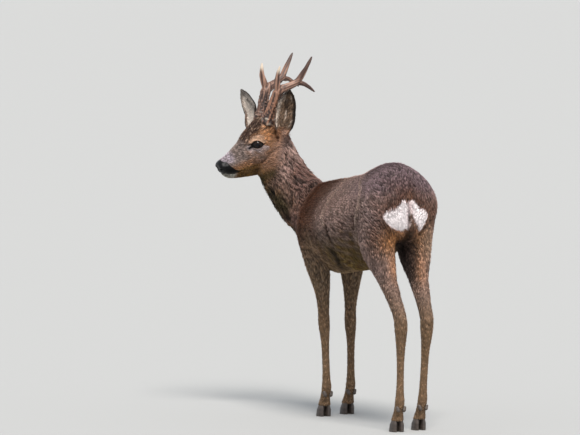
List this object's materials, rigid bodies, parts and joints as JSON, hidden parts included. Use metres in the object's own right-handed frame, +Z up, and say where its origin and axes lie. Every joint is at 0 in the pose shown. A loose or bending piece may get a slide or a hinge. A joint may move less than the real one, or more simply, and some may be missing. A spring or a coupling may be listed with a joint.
{
  "type": "roe deer",
  "caption": "Life-size roebuck standing with its head turned over its left shoulder, as a still museum model.",
  "frame": {"origin": "on the ground, under the middle of the bounding box", "axes": "+Z up, the body faces -Y, the animal's left side and its turned head are towards +X"},
  "size_m": [0.347, 0.873, 0.9147],
  "materials": {
    "coat": "grizzled grey-brown hair",
    "face_coat": "short tan and grey hair, black nose",
    "tail_hair": "soft pale hair",
    "ear_coat": "short hair, brown outside and grey inside, dark rim",
    "antler": "grooved and pearled bone with ivory tips",
    "hoof_horn": "dark smooth horn",
    "eye": "glossy and wet, nearly black"
  },
  "bodies": {
    "root": {"antler_left_beam": "antler", "antler_left_front_tine": "antler", "antler_left_middle": "antler", "antler_left_rear_tine": "antler", "antler_left_top_tine": "antler", "antler_right_beam": "antler", "antler_right_front_tine": "antler", "antler_right_middle": "antler", "antler_right_rear_tine": "antler", "antler_right_top_tine": "antler", "dewclaw_front_left_inner": "hoof_horn", "dewclaw_front_left_outer": "hoof_horn", "dewclaw_front_right_inner": "hoof_horn", "dewclaw_front_right_outer": "hoof_horn", "dewclaw_hind_left_inner": "hoof_horn", "dewclaw_hind_left_outer": "hoof_horn", "dewclaw_hind_right_inner": "hoof_horn", "dewclaw_hind_right_outer": "hoof_horn", "ear_left": "ear_coat", "ear_right": "ear_coat", "eye_left": "eye", "eye_right": "eye", "head": "face_coat", "hoof_front_left_inner": "hoof_horn", "hoof_front_left_outer": "hoof_horn", "hoof_front_right_inner": "hoof_horn", "hoof_front_right_outer": "hoof_horn", "hoof_hind_left_inner": "hoof_horn", "hoof_hind_left_outer": "hoof_horn", "hoof_hind_right_inner": "hoof_horn", "hoof_hind_right_outer": "hoof_horn", "leg_front_left": "coat", "leg_front_right": "coat", "leg_hind_left": "coat", "leg_hind_right": "coat", "neck": "coat", "tail": "tail_hair", "trunk": "coat"}
  },
  "joints": []
}
